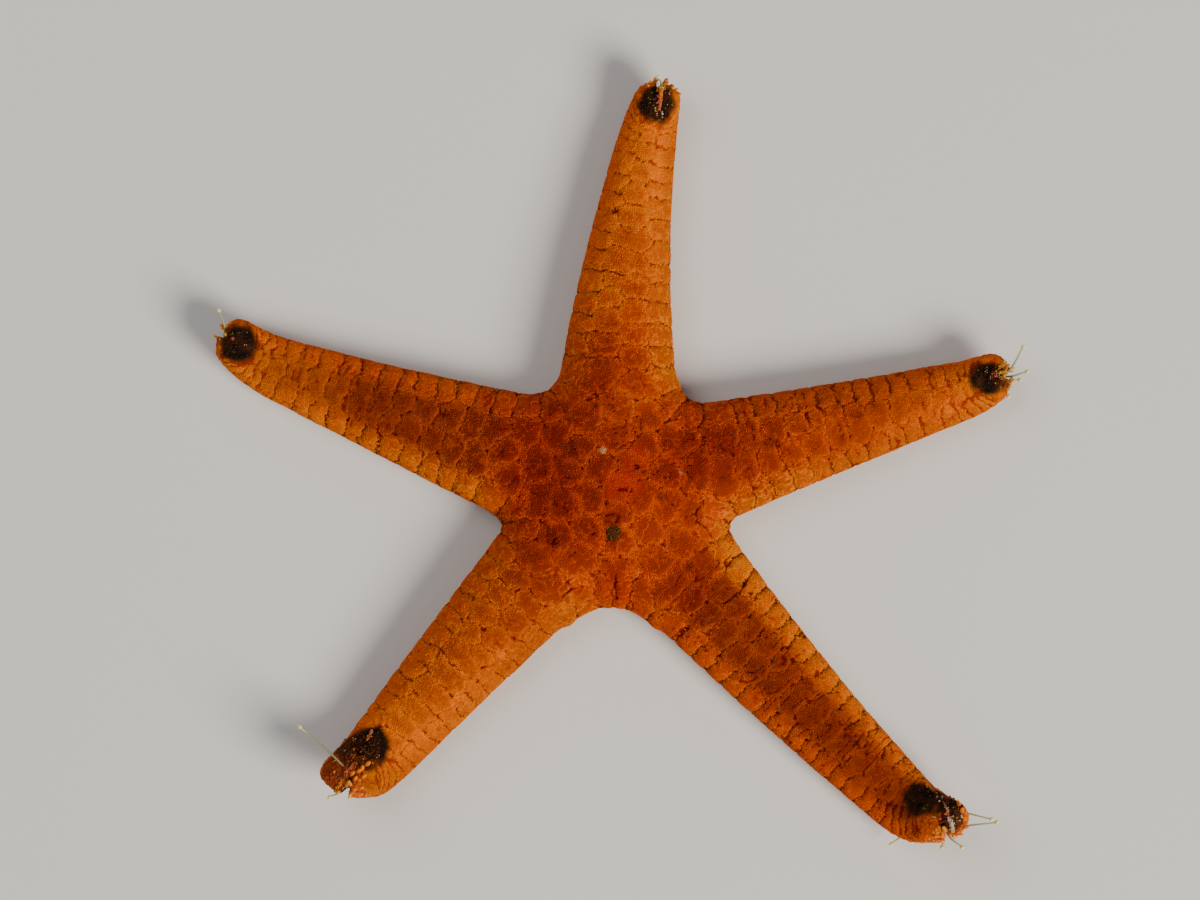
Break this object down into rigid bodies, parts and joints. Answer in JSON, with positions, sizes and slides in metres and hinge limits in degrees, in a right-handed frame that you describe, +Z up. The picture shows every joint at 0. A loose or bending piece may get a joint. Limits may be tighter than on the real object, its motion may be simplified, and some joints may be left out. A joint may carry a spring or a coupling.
{
  "type": "starfish",
  "caption": "Small orange sea star model lying flat, its slender arms ending in upturned dark tips, with furrows below and fine feelers at the ends.",
  "frame": {"origin": "middle of the whole outline seen from above, on the level of the flat underside", "axes": "+Z up, away from the floor; +X towards the arms' right-hand reach, the longest extent; +Y along the arm that points away from the viewer"},
  "size_m": [0.0772, 0.0736, 0.0082],
  "materials": {
    "skin": "granular skin, bright orange towards the arm ends and red-brown on the disc, with dark lines between the plates",
    "dark_skin": "granular skin, nearly black",
    "sieve_plate": "dark brown, finely grooved",
    "mouth_skin": "soft pale skin",
    "eyespots": "wet red",
    "feelers": "wet and translucent, pale greenish with yellow-white knobs"
  },
  "bodies": {
    "root": {"disc": "skin", "mouth": "mouth_skin", "madreporite": "sieve_plate", "arm_a_base": "skin", "arm_a_middle": "skin", "arm_a_tip": "skin", "tip_plate_a": "dark_skin", "eye_a": "eyespots", "arm_b_base": "skin", "arm_b_middle": "skin", "arm_b_tip": "skin", "tip_plate_b": "dark_skin", "eye_b": "eyespots", "arm_c_base": "skin", "arm_c_middle": "skin", "arm_c_tip": "skin", "tip_plate_c": "dark_skin", "eye_c": "eyespots", "arm_d_base": "skin", "arm_d_middle": "skin", "arm_d_tip": "skin", "tip_plate_d": "dark_skin", "eye_d": "eyespots", "arm_e_base": "skin", "arm_e_middle": "skin", "arm_e_tip": "skin", "tip_plate_e": "dark_skin", "eye_e": "eyespots", "feeler_a_1": "feelers", "feeler_b_1": "feelers", "feeler_c_1": "feelers", "feeler_c_2": "feelers", "feeler_d_1": "feelers", "feeler_d_2": "feelers", "feeler_d_3": "feelers", "feeler_d_4": "feelers", "feeler_d_5": "feelers", "feeler_e_1": "feelers", "feeler_e_2": "feelers", "feeler_e_3": "feelers", "feeler_e_4": "feelers"}
  },
  "joints": []
}
